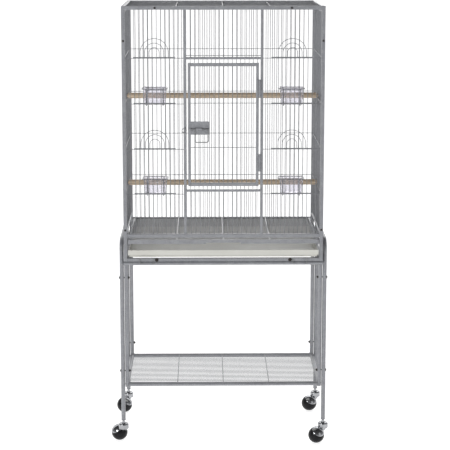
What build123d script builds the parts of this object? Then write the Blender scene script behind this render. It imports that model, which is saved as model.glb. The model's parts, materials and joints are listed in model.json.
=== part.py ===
from build123d import *
import os

os.makedirs("parts", exist_ok=True)

# Flight cage on a rolling stand, in millimetres. +Z is up, the front faces -Y, the floor is z = 0.
# Everything is drawn about the cage's own centre line, then moved so that the origin lies under
# the middle of the whole outline, which the four trailing casters push to one side.
shift_x = 14.42
shift_y = 4.73

# Cage body
cage_width = 726
cage_depth = 457
cage_top = 1625
cage_foot = 699.7
post = 13
tube_wall = 1.2
seam = 0.05
floor_rail_z = 795
back_rail_z = 772.5
base_rail_z = 706
base_rail = 12.5
divider_x = 138
divider = 10
crossbar_depth = 8
crossbar_height = 8.5
crossbar_levels = (961.5, 1440.4)

# Wire work
wire_r = 1.1
wire_gap = 0.05
level_low = 948
level_pitch = 164
levels = [level_low + i * level_pitch for i in range(4)]
side_count = 12
middle_count = 15
back_count = 42
depth_count = 24
panel_pitch = 16.4
top_count = 26
cross_bar_x = (-170, 0, 170)

# Bent side frames of the cage
side_tube_r = 5.5
side_bend = 36
side_top_z = 1606

# Main door
door_half = 127
door_stile = 10
door_rail = 12
door_low = 978
door_high = 1423.4
door_wire_count = 13
door_levels = (1118.6, 1279)
hinge_x = 130
hinge_y = -231.5
hinge_r = 4
pin_r = 2
running = 0.05
hinge_zones = ((1032.6, 1096), (1300.6, 1364.6))
leaf = 1.2

# Door latch
latch_z = 1186
rod_y = -232.6
rod_r = 2
rod_tip_x = -126.5
rod_end_x = -51.5
plate_left = -123
plate_right = -51
plate_low = 1166
plate_high = 1214
eye_x = -102
eye_far_x = -54
eye_r = 3.8
handle_r = 1.7
handle_low = 1139

# Feeder doors and cups
section_mid = 246.5
feeder_bar_r = 1.8
feeder_half = 75
ring_out = 3.2
ring_in = 1.7
arch_radii = (18, 34, 50)
arch_rise = 17
cup_width = 90
cup_depth = 62
cup_top = 57
cup_height = 62
cup_wall = 2
cup_y = -183
holder_r = 1.5

# Grate and tray
grate_low = 765.2
grate_half = 347.5
grate_wire_z = 774.5
tray_low = 716.25
tray_high = 742
tray_half = 345
tray_wall = 2.2

# Stand
leg_r = 7.75
leg_x = 373.2
leg_y = 191.5
leg_foot = 87.5
leg_bend = 38
leg_top = 770
inner_r = 7.25
inner_x = 357
shelf_z = 224
ring_z = 692.4
ring_y = 221.2
bolt_levels = (277.5, 632)
bolt_r = 2.5

# Clips on the stand's front rail
clip_x = 279
clip_half = 25
clip_y = -231.3
clip_r = 1.4
clip_top = 714

# Casters
ball_r = 30
ball_trail = 31
hood_out = 31.5
hood_in = 30.4
hood_edge = 20
stem_r = 4.5
housing_r = 19
housing_low = 54
housing_high = 74
axle_r = 4
tilt_out = 0.5736
tilt_up = 0.8192
headings = {"front_left": 123, "front_right": 215, "rear_left": 241, "rear_right": 216}

# Sizes that follow
front_y = -cage_depth / 2
panel_y = cage_depth / 2 - post / 2
post_x = cage_width / 2 - post / 2
inside_x = cage_width / 2 - post
inside_y = cage_depth / 2 - post
wire_step = 2 * wire_r + wire_gap
rail_mid_z = cage_top - post / 2
rail_low_z = cage_top - post
floor_rail_top = floor_rail_z + post / 2
back_rail_top = back_rail_z + post / 2
corners = [(sx, sy) for sx in (-1, 1) for sy in (-1, 1)]


def save(block, name):
    """Move a finished sub-part to the shared origin and write it out."""
    shape = block.part.moved(Location((shift_x, shift_y, 0)))
    shape.label = name
    export_step(shape, f"parts/{name}.step")


def rod(radius):
    """A solid round section."""
    return lambda: Circle(radius)


def flat(width, height):
    """A solid rectangular section."""
    return lambda: Rectangle(width, height)


def pipe(radius, wall=tube_wall):
    """A hollow round section."""

    def draw():
        Circle(radius)
        Circle(radius - wall, mode=Mode.SUBTRACT)

    return draw


def box_tube(width, height, wall=tube_wall):
    """A hollow rectangular section with softened corners."""

    def draw():
        RectangleRounded(width, height, 1.5)
        RectangleRounded(width - 2 * wall, height - 2 * wall, 0.6, mode=Mode.SUBTRACT)

    return draw


def bars(axis, start, end, places, draw):
    """Straight bars along one axis, with the drawn section at each place across it."""
    plane = {"x": Plane.YZ.offset(start), "y": Plane.XZ.offset(-start), "z": Plane.XY.offset(start)}
    reach = start - end if axis == "y" else end - start
    with BuildSketch(plane[axis]) as section:
        with Locations(*places):
            draw()
    extrude(section.sketch, amount=reach)


def bend(centre, start, turn, radius, draw, pieces, total=90, gap=0.1):
    """A bent bar in short arcs. It begins in the start direction and turns about the turn axis."""
    step = total / pieces
    for i in range(pieces):
        ray = Vector(start).rotate(Axis((0, 0, 0), turn), i * step)
        plane = Plane(origin=centre, x_dir=ray, z_dir=ray.cross(Vector(turn)))
        with BuildSketch(plane) as section:
            with Locations((radius, 0)):
                draw()
        revolve(section.sketch, axis=Axis(centre, turn), revolution_arc=step - gap)


def spread(count, pitch, middle=0):
    """Evenly spaced positions about a middle."""
    return [middle + (i - (count - 1) / 2) * pitch for i in range(count)]


def drill(axis, places, radius, length):
    """Round holes along X or Y through whatever is there."""
    turn = (0, 90, 0) if axis == "x" else (90, 0, 0)
    with Locations(*places):
        Cylinder(radius, length, rotation=turn, mode=Mode.SUBTRACT)


# ---- Cage frames ----

screw_levels = (816, 1502)
top_screw_x = 243.5
screw_hole_r = 2.1


def end_frame(y, rail_z):
    """Two corner posts with the top rail and the floor rail between them."""
    bars("z", cage_foot, cage_top, [(-post_x, y), (post_x, y)], box_tube(post, post))
    reach = inside_x - seam
    bars("x", -reach, reach, [(y, rail_mid_z), (y, rail_z)], box_tube(post, post))
    drill("y", [(s * post_x, y, z) for s in (-1, 1) for z in screw_levels], screw_hole_r, 20)
    drill("y", [(s * top_screw_x, y, rail_mid_z) for s in (-1, 1)], screw_hole_r, 20)


with BuildPart() as front_frame:
    end_frame(-panel_y, floor_rail_z)
    low = floor_rail_top + seam
    places = [(-divider_x, -panel_y), (divider_x, -panel_y)]
    bars("z", low, rail_low_z - seam, places, box_tube(divider, divider, 1))
    reach = divider_x - divider / 2 - seam
    crossbars = [(-panel_y, z) for z in crossbar_levels]
    bars("x", -reach, reach, crossbars, box_tube(crossbar_depth, crossbar_height, 1))
save(front_frame, "front_frame")

with BuildPart() as back_frame:
    end_frame(panel_y, back_rail_z)
save(back_frame, "back_frame")


with BuildPart() as post_caps:
    cap = post - 2 * tube_wall - 0.4
    places = [(sx * post_x, sy * panel_y) for sx, sy in corners]
    bars("z", cage_top - 6, cage_top - 0.4, places, flat(cap, cap))
save(post_caps, "post_caps")


def side_frame(x):
    """A bent tube frame with rounded top corners, between a front and a back post."""
    edge = inside_y - side_tube_r - 0.3
    straight = side_top_z - side_bend
    run = edge - side_bend
    bars("z", floor_rail_z - side_tube_r, straight - seam, [(x, -edge), (x, edge)], pipe(side_tube_r))
    bars("y", -run + seam, run - seam, [(x, side_top_z)], pipe(side_tube_r))
    reach = edge - side_tube_r - seam
    bars("y", -reach, reach, [(x, floor_rail_z)], pipe(side_tube_r))
    bend((x, run, straight), (0, 1, 0), (1, 0, 0), side_bend, pipe(side_tube_r), 2)
    bend((x, -run, straight), (0, -1, 0), (-1, 0, 0), side_bend, pipe(side_tube_r), 2)


def side_wires(x, inward):
    """Upright wires, shorter at the rounded corners, with level wires on their inner side."""
    low = floor_rail_z + side_tube_r
    places = spread(depth_count, panel_pitch)
    bars("z", low, side_top_z - side_tube_r, [(x, y) for y in places[1:-1]], rod(wire_r))
    corner_drop = 4.7
    bars("z", low, side_top_z - side_tube_r - corner_drop, [(x, places[0]), (x, places[-1])], rod(wire_r))
    reach = inside_y - 2 * side_tube_r - 0.3 - seam
    bars("y", -reach, reach, [(x + inward * wire_step, z) for z in levels], rod(wire_r))


with BuildPart() as left_frame:
    side_frame(-post_x)
save(left_frame, "left_frame")

with BuildPart() as left_wires:
    side_wires(-post_x, 1)
save(left_wires, "left_wires")

with BuildPart() as right_frame:
    side_frame(post_x)
save(right_frame, "right_frame")

with BuildPart() as right_wires:
    side_wires(post_x, -1)
save(right_wires, "right_wires")

with BuildPart() as top_frame:
    reach = inside_y - seam
    bars("y", -reach, reach, [(-post_x, rail_mid_z), (post_x, rail_mid_z)], box_tube(post, post))
save(top_frame, "top_frame")

with BuildPart() as top_wires:
    reach = inside_x - seam
    bars("x", -reach, reach, [(y, rail_mid_z) for y in spread(top_count, panel_pitch)], rod(wire_r))
    reach = inside_y - seam
    bars("y", -reach, reach, [(x, rail_mid_z + wire_step) for x in cross_bar_x], rod(wire_r))
save(top_wires, "top_wires")

# ---- Wire panels ----

side_pitch = (inside_x - divider_x - divider / 2) / (side_count + 1)
middle_pitch = (2 * divider_x - divider) / (middle_count + 1)
back_pitch = 2 * inside_x / (back_count + 1)
behind_front = -panel_y + wire_step

with BuildPart() as front_wires:
    for middle in (-section_mid, section_mid):
        upright = spread(side_count, side_pitch, middle)
        guides = [(x, -panel_y) for x in upright[:2] + upright[-2:]]
        short = [(x, -panel_y) for x in upright[2:-2]]
        bars("z", floor_rail_top, rail_low_z, guides, rod(wire_r))
        bars("z", floor_rail_top, levels[0] + wire_r, short, rod(wire_r))
        bars("z", levels[1] - wire_r, levels[2] + wire_r, short, rod(wire_r))
        bars("z", levels[3] - wire_r, rail_low_z, short, rod(wire_r))
    high_bar = crossbar_levels[1] + crossbar_height / 2
    low_bar = crossbar_levels[0] - crossbar_height / 2
    centre_places = [(x, -panel_y) for x in spread(middle_count, middle_pitch)]
    bars("z", high_bar, rail_low_z, centre_places, rod(wire_r))
    bars("z", floor_rail_top, low_bar, centre_places, rod(wire_r))
    between = divider_x - divider / 2
    bars("x", -between, between, [(behind_front, high_bar + 5)], rod(wire_r))
    level_places = [(behind_front, z) for z in levels]
    bars("x", -inside_x, -divider_x - divider / 2, level_places, rod(wire_r))
    bars("x", divider_x + divider / 2, inside_x, level_places, rod(wire_r))
save(front_wires, "front_wires")

with BuildPart() as back_wires:
    places = [(x, panel_y) for x in spread(back_count, back_pitch)]
    bars("z", back_rail_top, rail_low_z, places, rod(wire_r))
    bars("x", -inside_x, inside_x, [(panel_y - wire_step, z) for z in levels], rod(wire_r))
save(back_wires, "back_wires")

# ---- Base of the cage ----

thumb_x = 243

with BuildPart() as base_frame:
    reach = inside_x - seam
    rails = [(-panel_y, base_rail_z), (panel_y, base_rail_z)]
    bars("x", -reach, reach, rails, box_tube(base_rail, base_rail))
    apron_low = base_rail_z + base_rail / 2 + seam
    apron_high = back_rail_z - post / 2 - seam
    apron_mid = (apron_low + apron_high) / 2
    bars("x", -reach, reach, [(panel_y, apron_mid)], flat(1.5, apron_high - apron_low))
    reach = inside_y - seam
    rails = [(-post_x, base_rail_z), (post_x, base_rail_z)]
    bars("y", -reach, reach, rails, box_tube(base_rail, base_rail))
    drill("y", [(s * thumb_x, -panel_y, base_rail_z) for s in (-1, 1)], 2.6, 20)
save(base_frame, "base_frame")

runner_in = 335
runner_sheet = 1.2
tray_ledge = 3.7

with BuildPart() as slide_runners:
    for side in (-1, 1):
        tray_strip = side * (runner_in + cage_width / 2) / 2
        strip_z = base_rail_z + base_rail / 2 + tray_ledge / 2
        strip_width = cage_width / 2 - runner_in
        bars("y", -inside_y + seam, inside_y - seam, [(tray_strip, strip_z)], flat(strip_width, tray_ledge))
        ledge_width = inside_x - seam - runner_in
        ledge_x = side * (runner_in + ledge_width / 2)
        ledge_z = grate_low - 0.4 - runner_sheet / 2
        bars("y", front_y + 2, inside_y - seam, [(ledge_x, ledge_z)], flat(ledge_width, runner_sheet))
        guide_x = side * (inside_x - seam - runner_sheet / 2)
        guide_height = 18
        guide_z = ledge_z + runner_sheet / 2 + seam + guide_height / 2
        bars("y", front_y + 2, inside_y - seam, [(guide_x, guide_z)], flat(runner_sheet, guide_height))
save(slide_runners, "slide_runners")

with BuildPart() as panel_screws:
    head_r = 4
    head_t = 2.2
    for side in (-1, 1):
        spots = [(s * post_x, z) for s in (-1, 1) for z in screw_levels]
        spots += [(s * top_screw_x, rail_mid_z) for s in (-1, 1)]
        face = side * cage_depth / 2
        bars("y", face, face + side * head_t, spots, rod(head_r))
        bars("y", face - side * post, face, spots, rod(1.9))
    thumb_spots = [(s * thumb_x, base_rail_z) for s in (-1, 1)]
    thumb_face = -panel_y - base_rail / 2
    bars("y", thumb_face - 5, thumb_face, thumb_spots, rod(6.5))
    bars("y", thumb_face, thumb_face + base_rail, thumb_spots, rod(2.4))
    round_edges = panel_screws.edges().filter_by(GeomType.CIRCLE)
    fillet(round_edges.filter_by(lambda e: abs(e.radius - 6.5) < 0.01).group_by(Axis.Y)[0], 1.5)
save(panel_screws, "panel_screws")

# ---- Main door ----

with BuildPart() as main_door_frame:
    stile_x = door_half - door_stile / 2
    places = [(-stile_x, -panel_y), (stile_x, -panel_y)]
    bars("z", door_low, door_high, places, box_tube(door_stile, door_stile, 1))
    reach = door_half - door_stile - seam
    rails = [(-panel_y, door_low + door_rail / 2), (-panel_y, door_high - door_rail / 2)]
    bars("x", -reach, reach, rails, box_tube(door_stile, door_rail, 1))
save(main_door_frame, "main_door_frame")

with BuildPart() as main_door_wires:
    door_pitch = 2 * (door_half - door_stile) / (door_wire_count + 1)
    places = [(x, -panel_y) for x in spread(door_wire_count, door_pitch)]
    bars("z", door_low + door_rail, door_high - door_rail, places, rod(wire_r))
    reach = door_half - door_stile - seam
    bars("x", -reach, reach, [(behind_front, z) for z in door_levels], rod(wire_r))
save(main_door_wires, "main_door_wires")

frame_front = -panel_y - divider / 2
leaf_mid_y = frame_front - leaf / 2
leaf_reach = 12


def knuckle(low, high, side, bore):
    """One hinge knuckle with its flat leaf, towards the door (-1) or the frame (1)."""
    bars("z", low, high, [(hinge_x + side * leaf_reach / 2, leaf_mid_y)], flat(leaf_reach, leaf))
    bars("z", low, high, [(hinge_x, hinge_y)], rod(hinge_r))
    with Locations((hinge_x, hinge_y, (low + high) / 2)):
        Cylinder(bore, high - low, mode=Mode.SUBTRACT)


with BuildPart() as hinge_pins:
    for index, (low, high) in enumerate(hinge_zones):
        half = (low + high) / 2
        zone = (half + 0.2, high) if index == 0 else (low, half - 0.2)
        knuckle(zone[0], zone[1], 1, pin_r)
        bars("z", low, high, [(hinge_x, hinge_y)], rod(pin_r))
save(hinge_pins, "hinge_pins")

with BuildPart() as door_hinge_leaves:
    for index, (low, high) in enumerate(hinge_zones):
        half = (low + high) / 2
        zone = (low, half - 0.2) if index == 0 else (half + 0.2, high)
        knuckle(zone[0], zone[1], -1, pin_r + running)
save(door_hinge_leaves, "door_hinge_leaves")

# ---- Latch ----

plate_back = frame_front
plate_front = frame_front - leaf
strap_zones = ((plate_left, -117.5), (-99, -77))

with BuildPart() as latch_plate:
    with BuildSketch(Plane.XZ.offset(-plate_back)):
        with Locations(((plate_left + plate_right) / 2, (plate_low + plate_high) / 2)):
            RectangleRounded(plate_right - plate_left, plate_high - plate_low, 3)
    extrude(amount=leaf)
    hem_low = plate_low + 4
    hem_high = plate_high - 4
    hem_height = hem_high - hem_low
    hem_mid = (hem_low + hem_high) / 2
    bars("x", plate_right - leaf, plate_right, [(plate_back + 1.8, hem_mid)], flat(3.6, hem_height))
    for strap_start, strap_end in strap_zones:
        cover_y = (plate_front - 8.2 + plate_front) / 2
        bars("x", strap_start, strap_end, [(cover_y, latch_z)], flat(8.2, 7.6))
        with BuildSketch(Plane.YZ.offset(strap_start)) as channel:
            with Locations((plate_front - 3.5, latch_z)):
                Rectangle(7, 5.2)
        extrude(channel.sketch, amount=strap_end - strap_start, mode=Mode.SUBTRACT)
    bars("y", plate_front - 1.2, plate_front, [(-66, latch_z + 14), (-66, latch_z - 12)], rod(2.5))
save(latch_plate, "latch_plate")

with BuildPart() as latch_bolt:
    bars("x", rod_tip_x, rod_end_x, [(rod_y, latch_z)], rod(rod_r))
    chamfer(latch_bolt.edges().filter_by(GeomType.CIRCLE).group_by(Axis.X)[0], 0.6)
save(latch_bolt, "latch_bolt")

with BuildPart() as latch_handle:
    corner = 6
    for x in (eye_x, eye_far_x):
        bars("x", x - 1.5, x + 1.5, [(rod_y, latch_z)], rod(eye_r))
        bars("z", handle_low + corner, latch_z - eye_r + 0.6, [(x, rod_y)], rod(handle_r))
        with Locations((x, rod_y, latch_z)):
            Cylinder(rod_r + running, 3, rotation=(0, 90, 0), mode=Mode.SUBTRACT)
    bars("x", eye_x + corner, eye_far_x - corner, [(rod_y, handle_low)], rod(handle_r))
    low_z = handle_low + corner
    bend((eye_x + corner, rod_y, low_z), (-1, 0, 0), (0, -1, 0), corner, rod(handle_r), 1, gap=0)
    bend((eye_far_x - corner, rod_y, low_z), (0, 0, -1), (0, -1, 0), corner, rod(handle_r), 1, gap=0)
save(latch_handle, "latch_handle")

with BuildPart() as jamb_eye:
    catch_x = -138.6
    catch_width = 4
    bars("x", catch_x, catch_x + catch_width, [(rod_y, latch_z)], rod(5.4))
    foot_y = (frame_front + rod_y) / 2
    bars("x", catch_x, catch_x + catch_width, [(foot_y, latch_z)], flat(frame_front - rod_y, 7))
    with Locations((catch_x + catch_width / 2, rod_y, latch_z)):
        Cylinder(3.2, catch_width, rotation=(0, 90, 0), mode=Mode.SUBTRACT)
save(jamb_eye, "jamb_eye")

# ---- Feeder doors, cups and holders ----

bar_y = -panel_y - wire_r - 0.4 - feeder_bar_r
bar_lift = 3.2
feeders = {
    "upper_left": (-section_mid, levels[2]),
    "upper_right": (section_mid, levels[2]),
    "lower_left": (-section_mid, levels[0]),
    "lower_right": (section_mid, levels[0]),
}


def feeder_door(middle, level):
    """Two thick bars with rings round the guide wires, and thin uprights between the bars."""
    low = level + bar_lift
    high = low + level_pitch
    bars("x", middle - feeder_half, middle + feeder_half, [(bar_y, low), (bar_y, high)], rod(feeder_bar_r))
    guide = side_pitch * (side_count / 2 - 1.5)
    for z in (low, high):
        for x in (middle - guide, middle + guide):
            bars("z", z - 0.9, z + 0.9, [(x, -panel_y)], rod(ring_out))
            with Locations((x, -panel_y, z)):
                Cylinder(ring_in, 2, mode=Mode.SUBTRACT)
    places = [(x, bar_y) for x in spread(side_count - 4, side_pitch, middle)]
    bars("z", low + feeder_bar_r, high - feeder_bar_r, places, rod(wire_r))


def feeder_arches(middle, level):
    """Three nested arches that stand on the door's top bar."""
    high = level + bar_lift + level_pitch
    spring = high + arch_rise
    for radius in arch_radii:
        legs = [(middle - radius, bar_y), (middle + radius, bar_y)]
        bars("z", high + feeder_bar_r, spring - seam, legs, rod(wire_r))
        bend((middle, bar_y, spring), (1, 0, 0), (0, -1, 0), radius, rod(wire_r), 4, total=180)


def feed_cup(middle, rim):
    """A tapered open cup with a flat rim."""
    floor = rim - cup_height
    sides = ((0, 0, Mode.ADD), (2 * cup_wall, cup_wall, Mode.SUBTRACT))
    for less, lift, mode in sides:
        with BuildSketch(Plane.XY.offset(floor + lift)) as foot:
            with Locations((middle, cup_y)):
                RectangleRounded(78 - less, 50 - less, 9 - less / 2)
        with BuildSketch(Plane.XY.offset(rim)) as mouth:
            with Locations((middle, cup_y)):
                RectangleRounded(86 - less, 58 - less, 11 - less / 2)
        loft([foot.sketch, mouth.sketch], mode=mode)
    with BuildSketch(Plane.XY.offset(rim - 2)) as flange:
        with Locations((middle, cup_y)):
            RectangleRounded(cup_width, cup_depth, 12)
            RectangleRounded(82.2, 54.2, 9, mode=Mode.SUBTRACT)
    extrude(flange.sketch, amount=2)


for name, (middle, level) in feeders.items():
    with BuildPart() as door_block:
        feeder_door(middle, level)
    save(door_block, f"feeder_door_{name}")
    with BuildPart() as arch_block:
        feeder_arches(middle, level)
    save(arch_block, f"feeder_arches_{name}")
    with BuildPart() as cup_block:
        feed_cup(middle, level + cup_top)
    save(cup_block, f"cup_{name}")

with BuildPart() as cup_holders:
    ring_half_x = 45.5
    ring_half_y = 31.5
    leg_spots = (-30, 30)
    for middle, level in feeders.values():
        hold_z = level + cup_top - 2 - 0.3 - holder_r
        low_z = level + cup_top - cup_height - 0.3 - holder_r
        near = cup_y - ring_half_y
        far = cup_y + ring_half_y
        outer = ring_half_x + holder_r
        bars("x", middle - outer, middle + outer, [(near, hold_z), (far, hold_z)], rod(holder_r))
        side_places = [(middle - ring_half_x, hold_z), (middle + ring_half_x, hold_z)]
        bars("y", near + holder_r + seam, far - holder_r - seam, side_places, rod(holder_r))
        leg_places = [(middle + x, y) for x in leg_spots for y in (near, far)]
        bars("z", low_z + holder_r + seam, hold_z - holder_r - seam, leg_places, rod(holder_r))
        bars("y", near - holder_r, far + holder_r, [(middle + x, low_z) for x in leg_spots], rod(holder_r))
        tie_places = [(middle + x, level) for x in leg_spots]
        bars("y", behind_front + wire_r + seam, near - holder_r - seam, tie_places, rod(1.2))
save(cup_holders, "cup_holders")

# ---- Perches ----

perch_r = 10.5
tenon_r = 6

with BuildPart() as perches:
    for level in (levels[0], levels[2]):
        perch_z = level + wire_r + 0.1 + tenon_r
        bars("x", -inside_x - 1, inside_x + 1, [(0, perch_z)], rod(perch_r))
        bars("x", -cage_width / 2, cage_width / 2, [(0, perch_z)], rod(tenon_r))
save(perches, "perches")

# ---- Grate and tray ----

grate_front = front_y + 1.5
grate_back = 214.5

with BuildPart() as grate_frame:
    strip = 2.5
    with BuildSketch(Plane.XZ.offset(-grate_front - strip)) as front_strip:
        with Locations((0, grate_low + 7.4)):
            Rectangle(2 * grate_half, 14.8)
        with Locations((0, grate_low)):
            RectangleRounded(130, 8, 3.9, mode=Mode.SUBTRACT)
    extrude(front_strip.sketch, amount=strip)
    side_bar = 8
    bar_places = [(s * (grate_half - side_bar / 2), grate_low + 5.9) for s in (-1, 1)]
    bars("y", grate_front + strip + seam, grate_back, bar_places, flat(side_bar, 11.8))
    reach = grate_half - side_bar - seam
    bars("x", -reach, reach, [(grate_back - 2, grate_low + 5.9)], flat(4, 11.8))
save(grate_frame, "grate_frame")

with BuildPart() as grate_wires:
    reach = grate_half - 8 - seam
    bars("x", -reach, reach, [(y, grate_wire_z) for y in spread(26, 16.3, -6)], rod(wire_r))
    cross_r = 1.8
    cross_z = grate_wire_z + wire_r + cross_r + wire_gap
    bars("y", grate_front + 2.6, grate_back - 4.1, [(x, cross_z) for x in cross_bar_x], rod(cross_r))
save(grate_wires, "grate_wires")

tray_front = front_y + 6
tray_back = 211
lip_front = front_y - 1.5
lip_half = tray_half + 2

with BuildPart() as tray:
    tray_y = (tray_front + tray_back) / 2
    tray_run = tray_back - tray_front
    with BuildSketch(Plane.XY.offset(tray_low)) as tray_foot:
        with Locations((0, tray_y)):
            RectangleRounded(2 * tray_half, tray_run, 6)
    extrude(tray_foot.sketch, amount=tray_high - tray_low)
    with BuildSketch(Plane.XY.offset(tray_low + tray_wall)) as tray_room:
        with Locations((0, tray_y)):
            RectangleRounded(2 * (tray_half - tray_wall), tray_run - 2 * tray_wall, 4)
    extrude(tray_room.sketch, amount=tray_high, mode=Mode.SUBTRACT)
    lip_run = tray_front + 1 - lip_front
    lip_y = lip_front + lip_run / 2
    bars("z", tray_high - 2, tray_high, [(0, lip_y)], flat(2 * lip_half, lip_run))
    bars("z", tray_high - 18, tray_high, [(0, lip_front + 1)], flat(2 * lip_half, 2))
save(tray, "tray")

# ---- Stand ----


def side_legs(x):
    """One bent tube: two legs that join over the top beside the cage's base."""
    shoulder = leg_top - leg_bend
    bars("z", leg_foot, shoulder - seam, [(x, -leg_y), (x, leg_y)], pipe(leg_r))
    run = leg_y - leg_bend
    bars("y", -run + seam, run - seam, [(x, leg_top)], pipe(leg_r))
    bend((x, run, shoulder), (0, 1, 0), (1, 0, 0), leg_bend, pipe(leg_r), 2)
    bend((x, -run, shoulder), (0, -1, 0), (-1, 0, 0), leg_bend, pipe(leg_r), 2)
    drill("x", [(x, s * leg_y, z) for s in (-1, 1) for z in bolt_levels], bolt_r + 0.1, 20)


with BuildPart() as side_legs_left:
    side_legs(-leg_x)
save(side_legs_left, "side_legs_left")

with BuildPart() as side_legs_right:
    side_legs(leg_x)
save(side_legs_right, "side_legs_right")

with BuildPart() as stand_ring:
    reach = inner_x + inner_r
    bars("x", -reach, reach, [(-ring_y, ring_z), (ring_y, ring_z)], pipe(inner_r))
    reach = ring_y - inner_r - seam
    bars("y", -reach, reach, [(-inner_x, ring_z), (inner_x, ring_z)], pipe(inner_r))
save(stand_ring, "stand_ring")

with BuildPart() as inner_legs:
    places = [(sx * inner_x, sy * leg_y) for sx, sy in corners]
    bars("z", shelf_z - inner_r - 1, ring_z - inner_r - seam, places, pipe(inner_r))
    holes = [(sx * inner_x, sy * leg_y, z) for sx, sy in corners for z in bolt_levels]
    drill("x", holes, bolt_r + 0.1, 20)
save(inner_legs, "inner_legs")

with BuildPart() as shelf_frame:
    reach = inner_x - inner_r - seam
    bars("x", -reach, reach, [(-leg_y, shelf_z), (leg_y, shelf_z)], pipe(inner_r))
    reach = leg_y - inner_r - seam
    bars("y", -reach, reach, [(-inner_x, shelf_z), (inner_x, shelf_z)], pipe(inner_r))
save(shelf_frame, "shelf_frame")

with BuildPart() as shelf_wires:
    reach = inner_x - inner_r - seam
    shelf_wire_r = 1.4
    shelf_cross_r = 1.5
    level_z = shelf_z + 2
    bars("x", -reach, reach, [(y, level_z) for y in spread(22, 16.4)], rod(shelf_wire_r))
    reach = leg_y - inner_r - seam
    cross_level = level_z + shelf_wire_r + shelf_cross_r + wire_gap
    bars("y", -reach, reach, [(x, cross_level) for x in cross_bar_x], rod(shelf_cross_r))
save(shelf_wires, "shelf_wires")

with BuildPart() as leg_bolts:
    bolt_spots = [(sy * leg_y, z) for sy in (-1, 1) for z in bolt_levels]
    for side in (-1, 1):
        outer_face = side * (leg_x + leg_r)
        bars("x", outer_face, outer_face + side * 3.5, bolt_spots, rod(4.6))
        bars("x", side * (inner_x - inner_r - 6), outer_face, bolt_spots, rod(bolt_r))
save(leg_bolts, "leg_bolts")

with BuildPart() as leg_nuts:
    for side in (-1, 1):
        nut_face = side * (inner_x - inner_r)
        with BuildSketch(Plane.YZ.offset(nut_face - side * 4.2)) as nut_outline:
            with Locations(*bolt_spots):
                RegularPolygon(4.8, 6)
                Circle(bolt_r, mode=Mode.SUBTRACT)
        extrude(nut_outline.sketch, amount=side * 4.2)
save(leg_nuts, "leg_nuts")

feet = [(sx * leg_x, sy * leg_y) for sx, sy in corners]

with BuildPart() as leg_caps:
    bars("z", leg_foot - 1.6, leg_foot, feet, rod(leg_r + 0.4))
    bars("z", leg_foot, leg_foot + 20, feet, rod(leg_r - tube_wall - 0.1))
    with Locations(*[(x, y, leg_foot) for x, y in feet]):
        Cylinder(stem_r + 0.05, 60, mode=Mode.SUBTRACT)
save(leg_caps, "leg_caps")

with BuildPart() as caster_stems:
    bars("z", housing_low + 7, leg_foot + 24, feet, rod(stem_r))
    bars("z", housing_high + 0.6, housing_high + 4, feet, rod(7))
save(caster_stems, "caster_stems")

# ---- Clips ----

lug_reach = 5.6

with BuildPart() as clip_lugs:
    for side in (-1, 1):
        for inset in (-1, 1):
            lug_x = side * clip_x + inset * (clip_half - 6.5)
            lug_back = -ring_y - inner_r
            lug_y = lug_back - lug_reach / 2
            bars("x", lug_x - 2.5, lug_x + 2.5, [(lug_y, ring_z)], flat(lug_reach, 6))
            with Locations((lug_x, clip_y, ring_z)):
                Cylinder(clip_r + running, 6, rotation=(0, 90, 0), mode=Mode.SUBTRACT)
save(clip_lugs, "clip_lugs")


def rail_clip(middle):
    """One bent wire with two short feet that turn in the lugs."""
    foot = clip_half - 10
    corner = 3.5
    turns = [(-foot, ring_z), (-clip_half, ring_z), (-clip_half, clip_top)]
    turns += [(-x, z) for x, z in reversed(turns)]
    with BuildLine() as path:
        FilletPolyline(*[(middle + x, clip_y, z) for x, z in turns], radius=corner)
    with BuildSketch(Plane(path.line @ 0, z_dir=path.line % 0)) as section:
        Circle(clip_r)
    sweep(section.sketch, path=path.line)


with BuildPart() as rail_clip_left:
    rail_clip(-clip_x)
save(rail_clip_left, "rail_clip_left")

with BuildPart() as rail_clip_right:
    rail_clip(clip_x)
save(rail_clip_right, "rail_clip_right")

# ---- Casters ----


def caster_base(name):
    """A plane on the floor under one stem, with its own X along the way the ball trails."""
    sx = -1 if name.endswith("left") else 1
    sy = -1 if name.startswith("front") else 1
    trail = Vector(1, 0, 0).rotate(Axis.Z, headings[name])
    return Plane(origin=(sx * leg_x, sy * leg_y, 0), x_dir=trail, z_dir=(0, 0, 1))


def axle_plane(base):
    """A plane through the ball's centre with its own Y along the tilted axle."""
    across = Plane(origin=(ball_trail, 0, ball_r), x_dir=(1, 0, 0), z_dir=(0, -tilt_up, tilt_out))
    return Plane(base.location * across.location)


def side_plane(base):
    """An upright plane through the stem and the ball's centre."""
    upright = Plane(origin=(0, 0, 0), x_dir=(1, 0, 0), z_dir=(0, -1, 0))
    return Plane(base.location * upright.location)


def keep_out(width, height, middle):
    """Cut a rectangle from the sketch being drawn."""
    with Locations(middle):
        Rectangle(width, height, mode=Mode.SUBTRACT)


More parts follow.
